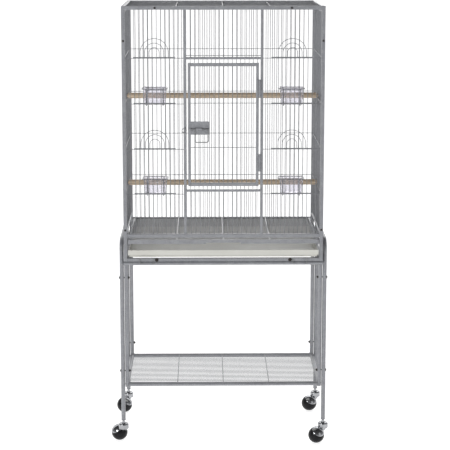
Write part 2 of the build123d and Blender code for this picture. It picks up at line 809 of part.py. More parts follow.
def caster_hood(name):
    """Swivel housing, neck and the cap-shaped hood with its axle."""
    base = caster_base(name)
    plane = axle_plane(base)
    side = side_plane(base)
    with BuildSketch(side) as housing:
        with Locations((0, housing_low)):
            Rectangle(housing_r, housing_high - housing_low, align=(Align.MIN, Align.MIN))
        shoulder = housing.vertices().group_by(Axis.X)[-1].sort_by(Axis.Y)[-1]
        fillet(shoulder, 6)
    revolve(housing.sketch, axis=Axis(base.origin, (0, 0, 1)))
    with BuildSketch(side.offset(-8)) as neck:
        with BuildLine():
            Polyline((-13, 57), (-13, 52), (0, 42), (26, 42), (26, 57), close=True)
        make_face()
    extrude(neck.sketch, amount=16)
    with Locations(plane.origin):
        Sphere(hood_out, mode=Mode.SUBTRACT)
    with BuildSketch(plane) as shell:
        Circle(hood_out)
        Circle(hood_in, mode=Mode.SUBTRACT)
        keep_out(100, 200, (-50, 0))
        keep_out(100, 100, (0, hood_edge - 50))
    revolve(shell.sketch, axis=Axis(plane.origin, plane.y_dir))
    with BuildSketch(Plane(origin=plane.origin, z_dir=plane.y_dir).offset(-10)) as axle:
        Circle(axle_r)
    extrude(axle.sketch, amount=10 + hood_in + 0.3)
    bore_low = housing_low + 6
    with BuildSketch(base.offset(bore_low)) as bore:
        Circle(stem_r + running)
    extrude(bore.sketch, amount=housing_high - bore_low, mode=Mode.SUBTRACT)


def caster_ball(name):
    """The wheel: a ball cut off inside the hood, with a blind bore for the axle."""
    plane = axle_plane(caster_base(name))
    bore_width = 2 * (axle_r + running)
    ball_cut = 22
    with BuildSketch(plane) as half:
        Circle(ball_r)
        keep_out(100, 200, (-50, 0))
        keep_out(100, 100, (0, ball_cut + 50))
        keep_out(100, 100, (0, -77.5))
        keep_out(bore_width, 11 + ball_cut, (0, (ball_cut - 11) / 2))
    revolve(half.sketch, axis=Axis(plane.origin, plane.y_dir))


for name in headings:
    with BuildPart() as hood_block:
        caster_hood(name)
    save(hood_block, f"caster_hood_{name}")
    with BuildPart() as ball_block:
        caster_ball(name)
    save(ball_block, f"caster_ball_{name}")
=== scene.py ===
import json
import math

import bmesh
import bpy
import numpy as np
from mathutils import Matrix, Vector, noise


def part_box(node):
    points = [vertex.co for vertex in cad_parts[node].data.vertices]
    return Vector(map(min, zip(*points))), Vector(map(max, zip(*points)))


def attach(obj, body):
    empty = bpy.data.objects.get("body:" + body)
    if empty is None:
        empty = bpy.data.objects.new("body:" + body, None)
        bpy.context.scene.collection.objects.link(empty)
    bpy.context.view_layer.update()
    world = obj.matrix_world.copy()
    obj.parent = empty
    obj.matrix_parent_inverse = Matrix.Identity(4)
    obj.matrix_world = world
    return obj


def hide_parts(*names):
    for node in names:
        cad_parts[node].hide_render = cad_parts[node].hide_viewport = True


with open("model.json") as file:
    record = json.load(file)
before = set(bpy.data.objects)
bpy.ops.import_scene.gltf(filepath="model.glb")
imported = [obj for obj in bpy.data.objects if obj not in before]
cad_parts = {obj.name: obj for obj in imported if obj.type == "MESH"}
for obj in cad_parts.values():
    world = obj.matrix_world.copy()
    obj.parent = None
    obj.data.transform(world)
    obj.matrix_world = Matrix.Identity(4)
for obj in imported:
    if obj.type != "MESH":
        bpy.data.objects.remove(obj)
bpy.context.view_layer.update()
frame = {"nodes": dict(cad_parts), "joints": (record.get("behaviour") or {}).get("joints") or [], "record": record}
nodes = frame["nodes"]
joints = {joint["name"]: joint for joint in frame["joints"]}
mm = 0.001
cupPlaces = ("upper_left", "upper_right", "lower_left", "lower_right")
casterPlaces = ("front_left", "front_right", "rear_left", "rear_right")
print("frame loaded,", len(nodes), "nodes")


# a Channel lets node outputs be used in plain sums


class Channel:
    def __init__(self, paint, output):
        self.paint = paint
        self.output = output

    def combine(self, operation, first, second):
        node = self.paint.add("ShaderNodeMath", {"operation": operation}, {0: first, 1: second})
        return Channel(self.paint, node.outputs[0])

    def __add__(self, other):
        return self.combine("ADD", self, other)

    def __radd__(self, other):
        return self.combine("ADD", other, self)

    def __sub__(self, other):
        return self.combine("SUBTRACT", self, other)

    def __rsub__(self, other):
        return self.combine("SUBTRACT", other, self)

    def __mul__(self, other):
        return self.combine("MULTIPLY", self, other)

    def __rmul__(self, other):
        return self.combine("MULTIPLY", other, self)


class NodeSet:  # the nodes of a material or a world
    def __init__(self, owner):
        owner.use_nodes = True
        self.tree = owner.node_tree
        self.tree.nodes.clear()

    def add(self, kind, settings=None, sockets=None):  # the one way any node is made
        node = self.tree.nodes.new(kind)
        for key, value in (settings or {}).items():
            if key == "stops":
                ramp = node.color_ramp
                while len(ramp.elements) < len(value):
                    ramp.elements.new(0.5)
                for element, (position, colour) in zip(ramp.elements, value):
                    element.position = position
                    element.color = (*colour, 1)
            else:
                setattr(node, key, value)
        for key, value in (sockets or {}).items():
            if isinstance(value, Channel):
                value = value.output
            if isinstance(value, bpy.types.NodeSocket):
                self.tree.links.new(value, node.inputs[key])
            else:
                node.inputs[key].default_value = value
        return node


class Paint(NodeSet):
    def __init__(self, name):
        self.material = bpy.data.materials.new(name)
        super().__init__(self.material)
        self.shader = self.add("ShaderNodeBsdfPrincipled")
        self.add("ShaderNodeOutputMaterial", {}, {"Surface": self.shader.outputs[0]})
        self.place = self.add("ShaderNodeTexCoord").outputs["Object"]

    def channel(self, kind, settings=None, sockets=None):
        return Channel(self, self.add(kind, settings, sockets).outputs[0])

    def stretched(self, x, y, z):  # coordinates squeezed along each axis
        return self.add("ShaderNodeMapping", {}, {"Vector": self.place, "Scale": (x, y, z)}).outputs[0]

    def noise(self, scale, detail=3, roughness=0.5, place=None):
        sockets = {"Vector": place or self.place, "Scale": scale, "Detail": detail, "Roughness": roughness}
        return self.channel("ShaderNodeTexNoise", {}, sockets)

    def cells(self, scale, smoothness=0.6):
        sockets = {"Vector": self.place, "Scale": scale, "Smoothness": smoothness}
        return self.channel("ShaderNodeTexVoronoi", {"feature": "SMOOTH_F1"}, sockets)

    def ramp(self, amount, stops):
        return self.add("ShaderNodeValToRGB", {"stops": stops}, {"Fac": amount}).outputs[0]

    def threshold(self, amount, low, high):  # 0 below low, 1 above high
        sockets = {"Value": amount, "From Min": low, "From Max": high}
        return self.channel("ShaderNodeMapRange", {"clamp": True}, sockets)

    def mix(self, amount, first, second):
        settings = {"data_type": "RGBA"}
        sockets = {0: amount, 6: first, 7: second}
        return self.add("ShaderNodeMix", settings, sockets).outputs[2]

    def finish(self, colour, roughness, height, bump, **fixed):
        sockets = {"Height": height, "Strength": bump[0], "Distance": bump[1]}
        normal = self.add("ShaderNodeBump", {}, sockets)
        varied = {"Base Color": colour, "Roughness": roughness, "Normal": normal.outputs[0]}
        for key, value in varied.items():
            if isinstance(value, Channel):
                value = value.output
            self.tree.links.new(value, self.shader.inputs[key])
        for key, value in fixed.items():
            self.shader.inputs[key.replace("_", " ")].default_value = value
        return self.material


# finishes, one for each material slot

hammeredPaint = {
    "frame": {"dark": (0.20, 0.205, 0.222), "light": (0.36, 0.368, 0.39), "dimples": 520, "metal": 0.35},
    "wire": {"dark": (0.17, 0.175, 0.19), "light": (0.31, 0.317, 0.336), "dimples": 900, "metal": 0.35},
    # grate: pale tones are painted light, brightening grate wires that sit in shade under the cage
    "grate": {"dark": (0.55, 0.555, 0.575), "light": (0.76, 0.767, 0.79), "dimples": 900, "metal": 0.2},
    "scuff": (0.50, 0.505, 0.52),
    "gloss": 0.34,
    "patches": 46,
    "clouds": 6.5,
    "scuffs": 140,
    "grain": 1700,
}


def makeHammered(name, look):
    paint = Paint(name)
    dimples = paint.cells(look["dimples"])
    patches = paint.noise(hammeredPaint["patches"], 4)
    clouds = paint.noise(hammeredPaint["clouds"], 2)
    tone = dimples * 0.75 + patches * 0.55 + clouds * 0.25 - 0.34
    base = paint.ramp(tone, [(0.12, look["dark"]), (0.72, look["light"])])
    scuffs = paint.threshold(paint.noise(hammeredPaint["scuffs"], 6, 0.72), 0.66, 0.74)
    colour = paint.mix(scuffs * 0.5, base, (*hammeredPaint["scuff"], 1))
    roughness = hammeredPaint["gloss"] + patches * 0.16 + scuffs * 0.12
    height = dimples * 0.8 + paint.noise(hammeredPaint["grain"], 2) * 0.2
    fixed = {"Metallic": look["metal"], "Coat_Weight": 0.25, "Coat_Roughness": 0.22}
    return paint.finish(colour, roughness, height, (0.4, 0.0005), **fixed)


perchLook = {
    "pale": (0.68, 0.55, 0.41),
    "dark": (0.38, 0.295, 0.205),
    "pore": (0.12, 0.088, 0.06),
    "growth": 9,
    "fibre": 60,
    "pores": 170,
}


def makeWood():
    paint = Paint("perchWood")
    along = paint.stretched(1.2, 24, 24)
    growth = paint.noise(perchLook["growth"], 5, 0.6, along)
    fibre = paint.noise(perchLook["fibre"], 4, 0.7, along)
    tone = growth * 0.75 + fibre * 0.35 - 0.05
    base = paint.ramp(tone, [(0.3, perchLook["dark"]), (0.68, perchLook["pale"])])
    lengthwise = paint.stretched(0.7, 14, 14)
    pores = paint.threshold(paint.noise(perchLook["pores"], 2, 0.5, lengthwise), 0.63, 0.72)
    colour = paint.mix(pores * 0.55, base, (*perchLook["pore"], 1))
    roughness = 0.46 + growth * 0.2 + pores * 0.1
    height = fibre * 0.6 - pores * 0.6
    return paint.finish(colour, roughness, height, (0.35, 0.0004), Coat_Weight=0.1, Coat_Roughness=0.3)


trayLook = {
    "cream": (0.70, 0.695, 0.65),
    "stain": (0.60, 0.595, 0.545),
    "speck": (0.40, 0.38, 0.33),
    "flow": 5,
    "peel": 900,
    "specks": 260,
}


def makeTray():
    paint = Paint("trayPlastic")
    flow = paint.noise(trayLook["flow"], 4, 0.55)
    peel = paint.noise(trayLook["peel"], 2)
    specks = paint.threshold(paint.noise(trayLook["specks"], 3, 0.6), 0.70, 0.76)
    base = paint.mix(paint.threshold(flow, 0.35, 0.75), (*trayLook["cream"], 1), (*trayLook["stain"], 1))
    colour = paint.mix(specks * 0.35, base, (*trayLook["speck"], 1))
    roughness = 0.38 + flow * 0.16
    return paint.finish(colour, roughness, peel, (0.2, 0.0003), Coat_Weight=0.15, Coat_Roughness=0.25)


cupLook = {
    "clear": (0.93, 0.92, 0.955),
    "milky": (0.85, 0.84, 0.89),
    "cloud": 28,
    "peel": 1100,
    "seeThrough": 0.95,
    "ior": 1.06,
    "gloss": 0.7,
}


def makeCup():
    paint = Paint("cupPlastic")
    cloud = paint.noise(cupLook["cloud"], 3)
    peel = paint.noise(cupLook["peel"], 2)
    colour = paint.mix(paint.threshold(cloud, 0.3, 0.8), (*cupLook["clear"], 1), (*cupLook["milky"], 1))
    roughness = 0.05 + cloud * 0.08
    clear = {"Transmission_Weight": cupLook["seeThrough"], "IOR": cupLook["ior"]}
    fixed = {**clear, "Coat_Weight": cupLook["gloss"], "Coat_Roughness": 0.06}
    return paint.finish(colour, roughness, peel, (0.15, 0.0002), **fixed)


chromeLook = {"dark": (0.30, 0.305, 0.32), "light": (0.46, 0.465, 0.48), "haze": 70, "lines": 2200}


def makeChrome():
    paint = Paint("casterChrome")
    haze = paint.noise(chromeLook["haze"], 5, 0.65)
    lines = paint.noise(chromeLook["lines"], 2, 0.5, paint.stretched(1, 1, 9))
    colour = paint.ramp(haze, [(0.3, chromeLook["dark"]), (0.75, chromeLook["light"])])
    roughness = 0.07 + haze * 0.16
    return paint.finish(colour, roughness, lines + haze * 0.5, (0.06, 0.0002), Metallic=1.0)


zincLook = {"dark": (0.17, 0.173, 0.18), "light": (0.36, 0.365, 0.37), "spangle": 420, "haze": 90}


def makeBright():
    paint = Paint("brightZinc")
    spangle = paint.cells(zincLook["spangle"], 0.3)
    haze = paint.noise(zincLook["haze"], 4)
    tone = spangle * 0.6 + haze * 0.5
    colour = paint.ramp(tone, [(0.25, zincLook["dark"]), (0.75, zincLook["light"])])
    roughness = 0.22 + haze * 0.2
    return paint.finish(colour, roughness, haze, (0.15, 0.0002), Metallic=0.9)


blackLook = {
    "deep": (0.006, 0.006, 0.007),
    "smeared": (0.016, 0.016, 0.018),
    "dust": (0.075, 0.072, 0.068),
    "smear": 55,
    "grit": 420,
    "grain": 1300,
}


def makeBlack():
    paint = Paint("blackPlastic")
    smear = paint.noise(blackLook["smear"], 5, 0.6)
    grit = paint.threshold(paint.noise(blackLook["grit"], 4, 0.7), 0.62, 0.74)
    base = paint.ramp(smear, [(0.3, blackLook["deep"]), (0.8, blackLook["smeared"])])
    colour = paint.mix(grit * 0.3, base, (*blackLook["dust"], 1))
    roughness = 0.2 + smear * 0.22 + grit * 0.2
    grain = paint.noise(blackLook["grain"], 2)
    return paint.finish(colour, roughness, grain, (0.15, 0.0002), Specular_IOR_Level=0.18)


darkLook = {
    "dark": (0.018, 0.013, 0.011),
    "light": (0.045, 0.034, 0.03),
    "bare": (0.14, 0.125, 0.115),
    "wear": 800,
    "cloud": 300,
    "grain": 1500,
}


def makeDark():
    paint = Paint("darkScrew")
    worn = paint.threshold(paint.noise(darkLook["wear"], 4, 0.6), 0.56, 0.70)
    cloud = paint.noise(darkLook["cloud"], 3)
    base = paint.ramp(cloud, [(0.3, darkLook["dark"]), (0.8, darkLook["light"])])
    colour = paint.mix(worn * 0.4, base, (*darkLook["bare"], 1))
    roughness = 0.34 + worn * 0.2
    grain = paint.noise(darkLook["grain"], 3)
    return paint.finish(colour, roughness, grain, (0.25, 0.0002), Metallic=0.5)


finishes = {
    "frame_paint": makeHammered("framePaint", hammeredPaint["frame"]),
    "wire_paint": makeHammered("wirePaint", hammeredPaint["wire"]),
    "dark_screws": makeDark(),
    "bright_wire": makeBright(),
    "perch_wood": makeWood(),
    "cup_plastic": makeCup(),
    "tray_plastic": makeTray(),
    "caster_chrome": makeChrome(),
    "black_plastic": makeBlack(),
}

for part in frame["record"]["subparts"]:
    for slot in nodes[part["node"]].material_slots:
        slot.material = finishes[part["material_slot"]]
gratePaintedLight = makeHammered("gratePaintedLight", hammeredPaint["grate"])  # painted light: paler paint brightens the grate wires where they sit in shade under the cage
for slot in nodes["grate_wires"].material_slots:
    slot.material = gratePaintedLight
print("finishes on the frame")


# mesh helpers


def solidBoxes(node):  # the box of every separate solid in one node
    mesh = nodes[node].data
    points = np.zeros(len(mesh.vertices) * 3)
    mesh.vertices.foreach_get("co", points)
    points = points.reshape(-1, 3)
    ends = np.zeros(len(mesh.edges) * 2, np.int64)
    mesh.edges.foreach_get("vertices", ends)
    same = np.unique(np.round(points * 1e5).astype(np.int64), axis=0, return_inverse=True)[1].reshape(-1)
    first, second = same[ends].reshape(-1, 2).T
    label = np.arange(same.max() + 1)
    while True:
        low = np.minimum(label[first], label[second])
        fresh = label.copy()
        np.minimum.at(fresh, first, low)
        np.minimum.at(fresh, second, low)
        fresh = fresh[fresh]
        if (fresh == label).all():
            break
        label = fresh
    owner = label[same]
    groups = [points[owner == index] for index in np.unique(owner)]
    return [(Vector(group.min(0)), Vector(group.max(0))) for group in groups]


def facing(origin, direction):  # a matrix whose own Z points along direction
    turn = Vector(direction).to_track_quat("Z", "Y").to_matrix().to_4x4()
    return Matrix.Translation(origin) @ turn


onAxis = 1e-7  # a smaller radius is one point on the axis


def addLathe(mesh, profile, matrix, steps):  # profile: (radius, height) from axis to axis
    turns = [2 * math.pi * i / steps for i in range(steps)]
    rings = []
    for radius, height in profile:
        if radius < onAxis:
            rings.append([mesh.verts.new(matrix @ Vector((0, 0, height)))])
            continue
        points = [Vector((radius * math.cos(a), radius * math.sin(a), height)) for a in turns]
        rings.append([mesh.verts.new(matrix @ point) for point in points])
    for lower, upper in zip(rings, rings[1:]):
        for i in range(steps):
            j = (i + 1) % steps
            below = [lower[i % len(lower)], lower[j % len(lower)]]
            above = [upper[j % len(upper)], upper[i % len(upper)]]
            corners = list(dict.fromkeys(below + above))
            if len(corners) > 2:
                mesh.faces.new(corners)


def addLoops(mesh, loops, closed=False):  # joins rings of equal length, each a list of points
    rings = [[mesh.verts.new(point) for point in loop] for loop in loops]
    pairs = list(zip(rings, rings[1:])) + ([(rings[-1], rings[0])] if closed else [])
    for lower, upper in pairs:
        for i in range(len(lower)):
            j = (i + 1) % len(lower)
            mesh.faces.new((lower[i], lower[j], upper[j], upper[i]))
    return rings


def addPiece(name, mesh, slot, body, stands=(), sharp=35):
    bmesh.ops.recalc_face_normals(mesh, faces=mesh.faces)
    for face in mesh.faces:
        face.smooth = True
    data = bpy.data.meshes.new(name)
    mesh.to_mesh(data)
    mesh.free()
    data.set_sharp_from_angle(angle=math.radians(sharp))
    piece = bpy.data.objects.new(name, data)
    bpy.context.scene.collection.objects.link(piece)
    data.materials.append(finishes[slot])
    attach(piece, body)
    if stands:
        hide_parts(*stands)
    return piece


# softened edges on the pieces that are bent or moulded, widths in mm

softEdges = {
    "tray": 0.9,
    "grate_frame": 0.5,
    "latch_plate": 0.35,
    "jamb_eye": 0.4,
    "slide_runners": 0.25,
    "door_hinge_leaves": 0.3,
    "hinge_pins": 0.3,
    "clip_lugs": 0.5,
    "perches": 0.8,
    "latch_bolt": 0.3,
    "leg_caps": 0.4,
    "leg_nuts": 0.3,
    "caster_stems": 0.4,
    **{f"caster_hood_{place}": 0.3 for place in casterPlaces},
}

edgeLook = {"join": 0.00001, "segments": 3, "angle": 40}

for node, width in softEdges.items():
    weld = nodes[node].modifiers.new("join", "WELD")
    weld.merge_threshold = edgeLook["join"]
    bevel = nodes[node].modifiers.new("soften", "BEVEL")
    bevel.width = width * mm
    bevel.segments = edgeLook["segments"]
    bevel.limit_method = "ANGLE"
    bevel.angle_limit = math.radians(edgeLook["angle"])
    bevel.harden_normals = True
print("edges softened")


# screws and bolts

screwLook = {
    "recess": 0.5,  # shares of the head's radius
    "recessWidth": 0.16,
    "recessDepth": 0.42,
    "recessTaper": 0.55,
    "recessClear": 0.2,
    "thread": 0.12,
    "pitch": 1.1,
    "flank": 0.18,
    "domeSteps": 6,
    "sides": 32,
}
screwSizes = {
    "panel": {"head": 2.2, "shank": 1.9},
    "thumb": {"head": 5, "from": 5},  # heads of this radius and more
    "leg": {"head": 3.5, "shank": 2.45},
}


# tip is the middle of the head's face
def addScrew(mesh, tip, outward, headRadius, headHeight, shankRadius, length):
    matrix = facing(tip - outward * headHeight, outward)
    profile = [(0, -length)]
    turns = max(4, int(length / (screwLook["pitch"] * mm)))
    for i in range(turns):
        low = -length + length * i / turns
        profile.append((shankRadius * (1 - screwLook["thread"]), low))
        profile.append((shankRadius, low + 0.5 * length / turns))
    flank = screwLook["flank"]
    profile += [(shankRadius, -0.1 * mm), (headRadius * 0.94, 0), (headRadius, headHeight * flank)]
    for i in range(1, screwLook["domeSteps"]):
        swing = math.radians(90 * i / screwLook["domeSteps"])
        up = headHeight * (flank + (1 - flank) * math.sin(swing))
        profile.append((headRadius * math.cos(swing) * 0.98, up))
    profile.append((0, headHeight))
    addLathe(mesh, profile, matrix, screwLook["sides"])


def cutCross(piece, places, headRadius):  # the driver recess, cut into every head at once
    cutter = bmesh.new()
    reach = headRadius * screwLook["recess"]
    half = headRadius * screwLook["recessWidth"]
    deep = headRadius * screwLook["recessDepth"]
    taper = screwLook["recessTaper"]
    arm = [(reach, -half), (reach, half), (half, half)]
    for tip, outward in places:
        base = facing(tip, outward)
        outline = []
        for quarter in range(4):
            turn = Matrix.Rotation(math.radians(90 * quarter), 4, "Z")
            outline += [turn @ Vector((x, y, 0)) for x, y in arm]
        lower = [base @ Vector((p.x * taper, p.y * taper, -deep)) for p in outline]
        upper = [base @ Vector((p.x, p.y, headRadius * screwLook["recessClear"])) for p in outline]
        rings = addLoops(cutter, [lower, upper])
        cutter.faces.new(list(reversed(rings[0])))
        cutter.faces.new(rings[1])
    bmesh.ops.recalc_face_normals(cutter, faces=cutter.faces)
    data = bpy.data.meshes.new("recess")
    cutter.to_mesh(data)
    cutter.free()
    tool = bpy.data.objects.new("recess", data)
    bpy.context.scene.collection.objects.link(tool)
    cut = piece.modifiers.new("recess", "BOOLEAN")
    cut.operation = "DIFFERENCE"
    cut.solver = "EXACT"
    cut.object = tool
    bpy.context.view_layer.update()
    shaped = bpy.data.meshes.new_from_object(piece.evaluated_get(bpy.context.evaluated_depsgraph_get()))
    piece.modifiers.remove(cut)
    piece.data = shaped
    bpy.data.objects.remove(tool)


def replaceScrews(name, node, axis, headHeight, shankRadius):
    mesh = bmesh.new()
    middle = (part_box(node)[0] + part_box(node)[1]) / 2
    places = []
    for low, high in solidBoxes(node):
        centre = (low + high) / 2
        outward = Vector((0, 0, 0))
        outward[axis] = 1 if centre[axis] > middle[axis] else -1
        tip = centre.copy()
        tip[axis] = high[axis] if outward[axis] > 0 else low[axis]
        headRadius = (high.z - low.z) / 2
        length = (high - low)[axis] - headHeight(headRadius)
        addScrew(mesh, tip, outward, headRadius, headHeight(headRadius), shankRadius, length)
        places.append((tip, outward, headRadius))
    piece = addPiece(name, mesh, "dark_screws", "cage", (node,))
    for size in sorted({round(place[2], 4) for place in places}):
        chosen = [place[:2] for place in places if abs(place[2] - size) < 0.0002]
        cutCross(piece, chosen, size)


def panelHead(radius):
    wide = radius >= screwSizes["thumb"]["from"] * mm
    return screwSizes["thumb" if wide else "panel"]["head"] * mm


def legHead(radius):  # the same for every bolt
    return screwSizes["leg"]["head"] * mm


replaceScrews("panelScrewsFinished", "panel_screws", 1, panelHead, screwSizes["panel"]["shank"] * mm)
replaceScrews("legBoltsFinished", "leg_bolts", 0, legHead, screwSizes["leg"]["shank"] * mm)
print("screws made")


# spot welds where wires cross, and rippled weld beads on the stand

weldLook = {
    "size": 1.55,
    "squash": 0.8,
    "ragged": 0.28,
    "grain": 1400,
    "vary": 37,
    "reach": 0.6,  # wires this near to each other are welded
}
wireNodes = {
    "front_wires": "cage",
    "back_wires": "cage",
    "left_wires": "cage",
    "right_wires": "cage",
    "top_wires": "cage",
    "shelf_wires": "cage",
    "main_door_wires": "main_door",
    "grate_wires": "grate",
}


def crossings(node):  # the touching points of wires that run along different axes
    wires = {0: [], 1: [], 2: []}
    for low, high in solidBoxes(node):
        size = high - low
        along = max(range(3), key=lambda axis: size[axis])
        wires[along].append((low, high))
    for first, second in ((0, 1), (0, 2), (1, 2)):
        depth = 3 - first - second
        for lowA, highA in wires[first]:
            for lowB, highB in wires[second]:
                spot = (lowA + highA + lowB + highB) / 4
                spot[first] = (lowB[first] + highB[first]) / 2
                spot[second] = (lowA[second] + highA[second]) / 2
                onFirst = lowA[first] < spot[first] < highA[first]
                onSecond = lowB[second] < spot[second] < highB[second]
                gap = max(lowA[depth], lowB[depth]) - min(highA[depth], highB[depth])
                if onFirst and onSecond and abs(gap) < weldLook["reach"] * mm:
                    spot[depth] = (max(lowA[depth], lowB[depth]) + min(highA[depth], highB[depth])) / 2
                    yield spot, depth


for node, body in wireNodes.items():
    mesh = bmesh.new()
    for spot, depth in crossings(node):
        squash = Vector((1, 1, 1))
        squash[depth] = weldLook["squash"]
        blob = bmesh.ops.create_icosphere(mesh, subdivisions=2, radius=weldLook["size"] * mm)["verts"]
        for vert in blob:
            seed = vert.co * weldLook["grain"] + spot * weldLook["vary"]
            rough = 1 + weldLook["ragged"] * noise.noise(seed)
            vert.co = Vector(v * s for v, s in zip(vert.co, squash)) * rough + spot
    addPiece(node.replace("_wires", "") + "SpotWelds", mesh, "wire_paint", body)
print("spot welds made")

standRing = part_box("stand_ring")
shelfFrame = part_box("shelf_frame")
tubeRadius = (standRing[1].z - standRing[0].z) / 2
beadLook = {"bead": 1.5, "ripples": 14, "steps": 5, "sides": 8, "depth": 0.16, "ragged": 0.1}


def addBead(mesh, matrix, loop):  # a rippled weld round a joint
    ripples = beadLook["ripples"]
    steps = ripples * beadLook["steps"]
    loops = []
    for i in range(steps):
        angle = 2 * math.pi * i / steps
        out = Vector((math.cos(angle), math.sin(angle), 0))
        ripple = beadLook["depth"] * math.sin(ripples * angle)
        ripple += beadLook["ragged"] * noise.noise(out * 3)
        size = beadLook["bead"] * mm * (1 + ripple)
        ring = []
        for k in range(beadLook["sides"]):
            around = 2 * math.pi * k / beadLook["sides"]
            point = out * (loop + size * math.cos(around)) + Vector((0, 0, size * math.sin(around)))
            ring.append(matrix @ point)
        loops.append(ring)
    addLoops(mesh, loops, closed=True)


beads = bmesh.new()
for low, high in solidBoxes("inner_legs"):
    post = (low + high) / 2
    top = Vector((post.x, post.y, high.z + 0.2 * mm))
    addBead(beads, facing(top, (0, 0, 1)), tubeRadius - 0.3 * mm)
    shelfZ = (shelfFrame[0].z + shelfFrame[1].z) / 2
    towards = Vector((-1 if post.x > 0 else 1, 0, 0))
    side = Vector((0, -1 if post.y > 0 else 1, 0))
    for way in (towards, side):
        spot = Vector((post.x, post.y, shelfZ)) + way * (tubeRadius + 0.1 * mm)
        addBead(beads, facing(spot, way), tubeRadius - 0.2 * mm)
ringRails = [box for box in solidBoxes("stand_ring") if (box[1] - box[0]).y > (box[1] - box[0]).x]
for low, high in ringRails:
    for end in (low.y, high.y):
        spot = Vector(((low.x + high.x) / 2, end, (low.z + high.z) / 2))
        addBead(beads, facing(spot, (0, 1, 0)), tubeRadius - 0.2 * mm)
addPiece("standWeldBeads", beads, "frame_paint", "cage")
print("weld beads made")


# the wire hook round the divider, behind the latch bolt's eye
hookLook = {
    "loop": 7.8,
    "wire": 1.4,
    "open": 62,
    "start": 40,
    "steps": 40,
    "sides": 12,
    "left": 2.2,
    "back": 1.45,
    "drop": 5,
}


def makeJambHook():
    low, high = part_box("jamb_eye")
    level = (low.z + high.z) / 2 - hookLook["drop"] * mm
    middle = Vector((low.x - hookLook["left"] * mm, high.y - hookLook["back"] * mm, level))
    loops = []
    for i in range(hookLook["steps"] + 1):
        part = i / hookLook["steps"]
        angle = math.radians(hookLook["start"] + hookLook["open"] + (360 - hookLook["open"]) * part)
        out = Vector((math.cos(angle), 0, math.sin(angle)))
        thick = hookLook["wire"] * mm * min(1, 0.35 + 6 * min(part, 1 - part))
        ring = []
        for k in range(hookLook["sides"]):
            turn = 2 * math.pi * k / hookLook["sides"]
            around = out * (hookLook["loop"] * mm + thick * math.cos(turn))
            ring.append(middle + (around + Vector((0, thick * math.sin(turn), 0))))
        loops.append(ring)
    mesh = bmesh.new()
    rings = addLoops(mesh, loops)
    mesh.faces.new(list(reversed(rings[0])))
    mesh.faces.new(rings[-1])
    addPiece("jambHook", mesh, "bright_wire", "cage")


makeJambHook()
print("jamb hook made")


# feed cups: moulded shell with a rolled rim and a foot

cupShape = {"wall": 1.9, "flange": 2, "mouth": -2, "foot": -6, "corner": 10, "sides": 12}


def roundedLoop(centre, halfX, halfY, corner, height):
    points = []
    for quarter, (sx, sy) in enumerate(((1, 1), (-1, 1), (-1, -1), (1, -1))):
        for i in range(cupShape["sides"]):
            angle = math.radians(90 * (quarter + i / (cupShape["sides"] - 1)))
            x = sx * (halfX - corner) + corner * math.cos(angle)
            y = sy * (halfY - corner) + corner * math.sin(angle)
            points.append(Vector((centre.x + x, centre.y + y, height)))
    return points


def makeCupPiece(place):
    node = f"cup_{place}"
    low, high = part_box(node)
    centre = (low + high) / 2
    halfX = (high.x - low.x) / 2
    halfY = (high.y - low.y) / 2
    corner = cupShape["corner"] * mm
    wall = cupShape["wall"] * mm
    tall = high.z - low.z
    flange = cupShape["flange"] * mm
    mouth = cupShape["mouth"] * mm
    foot = cupShape["foot"] * mm
    outline = [  # (inset from the rim's edge, height above the cup's underside, corner)
        (foot - 3.2 * mm, 1.2 * mm, corner * 0.8),
        (foot - 2.6 * mm, 0.3 * mm, corner * 0.85),
        (foot - 1.2 * mm, 0, corner * 0.9),
        (foot - 0.3 * mm, 0.5 * mm, corner * 0.95),
        (foot, 1.8 * mm, corner),
        (foot + 1.6 * mm, tall * 0.35, corner),
        (mouth - 1.4 * mm, tall * 0.72, corner),
        (mouth - 0.3 * mm, tall - flange - 1 * mm, corner),
        (mouth, tall - flange - 0.1 * mm, corner),
        (-0.5 * mm, tall - flange, corner * 1.15),
        (0, tall - flange * 0.7, corner * 1.2),
        (0, tall - flange * 0.3, corner * 1.2),
        (-0.6 * mm, tall, corner * 1.15),
        (mouth - wall * 0.6, tall, corner),
        (mouth - wall, tall - 0.8 * mm, corner * 0.9),
        (mouth - 1.4 * mm - wall, tall * 0.72, corner * 0.85),
        (foot + 1.4 * mm - wall, tall * 0.35, corner * 0.8),
        (foot - wall, 6 * mm, corner * 0.75),
        (foot - wall - 1.2 * mm, 3.4 * mm, corner * 0.7),
        (foot - wall - 4 * mm, 2.4 * mm, corner * 0.6),
    ]
    mesh = bmesh.new()
    loops = []
    for inset, up, bend in outline:
        loops.append(roundedLoop(centre, halfX + inset, halfY + inset, bend, low.z + up))
    rings = addLoops(mesh, loops)
    mesh.faces.new(list(reversed(rings[0])))
    mesh.faces.new(rings[-1])
    addPiece(f"cup{place.title().replace('_', '')}", mesh, "cup_plastic", node, (node,), sharp=50)


for place in cupPlaces:
    makeCupPiece(place)
print("cups made")


# caster wheels: turned balls with a parting groove and a stepped outer face

ballLook = {
    "groove": 0.35,
    "grooveWidth": 0.7,
    "grooves": (-0.55, 0.1),  # shares of the ball's radius
    "axleBore": 4.05,
    "boreEnd": -11,
    "cut": 22.0,
    "pole": -27.5,
    "steps": 30,
    "sides": 56,
}


